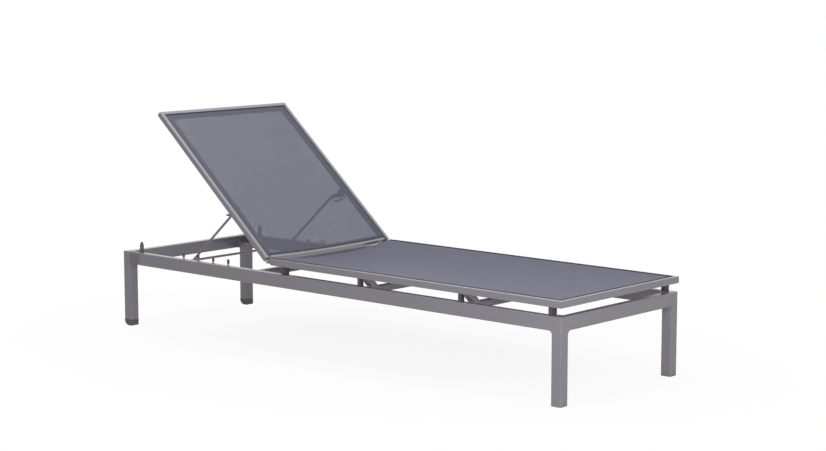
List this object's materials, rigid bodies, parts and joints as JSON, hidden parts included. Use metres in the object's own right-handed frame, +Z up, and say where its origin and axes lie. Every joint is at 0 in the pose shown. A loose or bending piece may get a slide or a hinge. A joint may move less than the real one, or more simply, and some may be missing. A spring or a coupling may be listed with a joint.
{
  "type": "chaise lounge",
  "caption": "Low patio chaise lounge: a rectangular metal base on square legs, a sling seat, and a sling backrest propped by a bail in toothed racks.",
  "frame": {"origin": "on the floor, under the middle of the lounge", "axes": "+X from the head end to the foot end, +Y to the left of someone lying on it, +Z up"},
  "size_m": [1.998, 0.616, 0.7892],
  "materials": {
    "painted_aluminium": "satin grey powder coat",
    "painted_steel": "satin grey powder coat",
    "dark_plastic": "matte",
    "spline_rubber": "matte",
    "steel_fasteners": "satin",
    "sling_fabric": "woven mesh of coated yarn"
  },
  "bodies": {
    "base_and_seat": {"bail_rack_left": "painted_aluminium", "bail_rack_right": "painted_aluminium", "base_cross_rail": "painted_aluminium", "base_foot_rail": "painted_aluminium", "base_head_rail": "painted_aluminium", "base_side_rail_left": "painted_aluminium", "base_side_rail_right": "painted_aluminium", "foot_leg_glide_left": "dark_plastic", "foot_leg_glide_right": "dark_plastic", "foot_leg_left": "painted_aluminium", "foot_leg_right": "painted_aluminium", "head_connector_left": "dark_plastic", "head_connector_right": "dark_plastic", "head_corner_bracket_left": "painted_aluminium", "head_corner_bracket_right": "painted_aluminium", "head_leg_cap_left": "dark_plastic", "head_leg_cap_right": "dark_plastic", "head_leg_left": "painted_aluminium", "head_leg_right": "painted_aluminium", "hinge_pins": "steel_fasteners", "rack_pins_left": "dark_plastic", "rack_pins_right": "dark_plastic", "rack_rivets": "steel_fasteners", "rack_stems": "steel_fasteners", "rest_post_left": "dark_plastic", "rest_post_right": "dark_plastic", "rest_post_tips": "dark_plastic", "seat_cross_bar_foot": "painted_aluminium", "seat_cross_bar_head": "painted_aluminium", "seat_foot_rail": "painted_aluminium", "seat_head_bar": "painted_aluminium", "seat_hinge_clevis_left": "painted_aluminium", "seat_hinge_clevis_right": "painted_aluminium", "seat_side_rail_left": "painted_aluminium", "seat_side_rail_right": "painted_aluminium", "seat_sling": "sling_fabric", "seat_splines": "spline_rubber", "spacer_blocks_left": "dark_plastic", "spacer_blocks_right": "dark_plastic", "spacer_bolts": "steel_fasteners"},
    "backrest": {"backrest_bottom_bar": "painted_aluminium", "backrest_hinge_tongue_left": "painted_aluminium", "backrest_hinge_tongue_right": "painted_aluminium", "backrest_side_rail_left": "painted_aluminium", "backrest_side_rail_right": "painted_aluminium", "backrest_sling": "sling_fabric", "backrest_splines": "spline_rubber", "backrest_top_rail": "painted_aluminium", "bail_bracket_left": "painted_steel", "bail_bracket_right": "painted_steel", "bail_bracket_screws": "steel_fasteners", "bail_pivot_pins": "steel_fasteners", "bail_pivot_spacers": "painted_steel"},
    "bail": {"bail_arm_left": "painted_steel", "bail_arm_right": "painted_steel", "bail_cross_rod": "painted_steel"}
  },
  "joints": [
    {"name": "backrest_hinge", "type": "hinge", "parent": "base_and_seat", "child": "backrest", "pos_m": [-0.25231, 0, 0.311], "axis": [0, 1, 0], "range_deg": [-41.2, 29.8]},
    {"name": "bail_pivot", "type": "hinge", "parent": "backrest", "child": "bail", "pos_m": [-0.46601, 0, 0.46632], "axis": [0, 1, 0], "range_deg": [-57.2, 79.1]}
  ],
  "couplings": [
    {"joint": "bail_pivot", "follows": "backrest_hinge", "ratio": -1.917}
  ]
}
